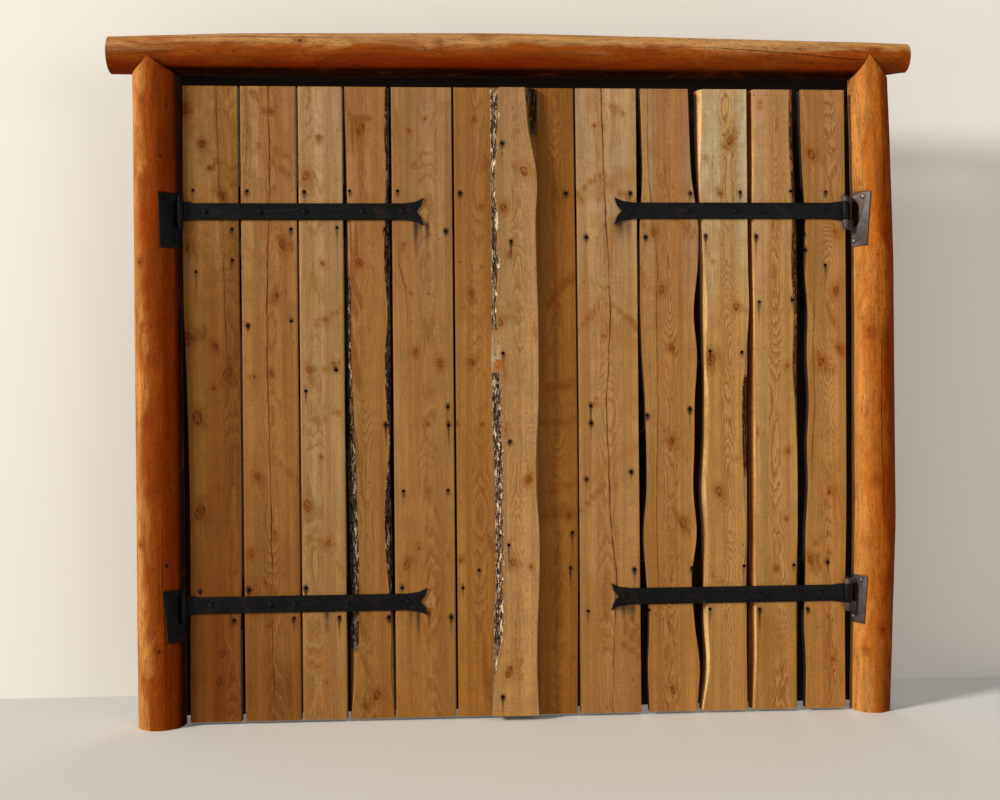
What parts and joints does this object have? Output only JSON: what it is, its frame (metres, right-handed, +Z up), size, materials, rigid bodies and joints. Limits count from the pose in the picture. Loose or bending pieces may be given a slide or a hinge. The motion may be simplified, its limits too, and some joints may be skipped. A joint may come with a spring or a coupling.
{
  "type": "pair of barn doors in a log frame",
  "caption": "Pair of rough board doors with live edges and a lap board, hung on long strap hinges between peeled log posts under a log lintel.",
  "frame": {"origin": "on the ground, midway between the ends of the lintel, on the axes of the logs", "axes": "+X along the lintel, to the right as seen from outside; +Y into the building; +Z up"},
  "size_m": [3.086, 0.1812, 2.647],
  "materials": {
    "log_wood": "peeled and oiled log, orange brown",
    "pine_board": "rough-sawn pine, honey brown",
    "bark_board": "rough-sawn pine with bark left on its edges",
    "dark_board": "rough-sawn pine, dark red brown",
    "ledge_wood": "rough-sawn pine",
    "black_iron": "forged and blackened",
    "worn_iron": "forged, worn grey brown",
    "steel_heads": "dull steel",
    "peg_wood": "bare hardwood"
  },
  "bodies": {
    "frame": {"left_lower_hinge_pin": "black_iron", "left_lower_hinge_plate": "black_iron", "left_lower_plate_screws": "black_iron", "left_post": "log_wood", "left_upper_hinge_pin": "black_iron", "left_upper_hinge_plate": "black_iron", "left_upper_plate_screws": "black_iron", "lintel": "log_wood", "lintel_dowels": "peg_wood", "right_lower_hinge_pin": "black_iron", "right_lower_hinge_plate": "worn_iron", "right_lower_plate_screws": "steel_heads", "right_post": "log_wood", "right_upper_hinge_pin": "black_iron", "right_upper_hinge_plate": "worn_iron", "right_upper_plate_screws": "steel_heads"},
    "left_leaf": {"lap_board": "bark_board", "left_board_1": "pine_board", "left_board_2": "pine_board", "left_board_3": "pine_board", "left_board_4": "bark_board", "left_board_5": "pine_board", "left_board_6": "pine_board", "left_brace": "ledge_wood", "left_lower_ledge": "ledge_wood", "left_lower_strap": "black_iron", "left_lower_strap_bolts": "black_iron", "left_upper_ledge": "ledge_wood", "left_upper_strap": "black_iron", "left_upper_strap_bolts": "black_iron"},
    "right_leaf": {"right_board_1": "dark_board", "right_board_2": "pine_board", "right_board_3": "pine_board", "right_board_4": "bark_board", "right_board_5": "bark_board", "right_board_6": "pine_board", "right_brace": "ledge_wood", "right_lower_ledge": "ledge_wood", "right_lower_strap": "black_iron", "right_lower_strap_bolts": "black_iron", "right_upper_ledge": "ledge_wood", "right_upper_strap": "black_iron", "right_upper_strap_bolts": "black_iron"}
  },
  "joints": [
    {"name": "left_leaf_hinge", "type": "hinge", "parent": "frame", "child": "left_leaf", "pos_m": [-1.28, -0.042, 1.2], "axis": [0, 0, -1], "range_deg": [0, 140]},
    {"name": "right_leaf_hinge", "type": "hinge", "parent": "frame", "child": "right_leaf", "pos_m": [1.282, -0.042, 1.2], "axis": [0, 0, 1], "range_deg": [0, 140]}
  ],
  "couplings": [
    {"joint": "right_leaf_hinge", "follows": "left_leaf_hinge", "ratio": 1}
  ]
}
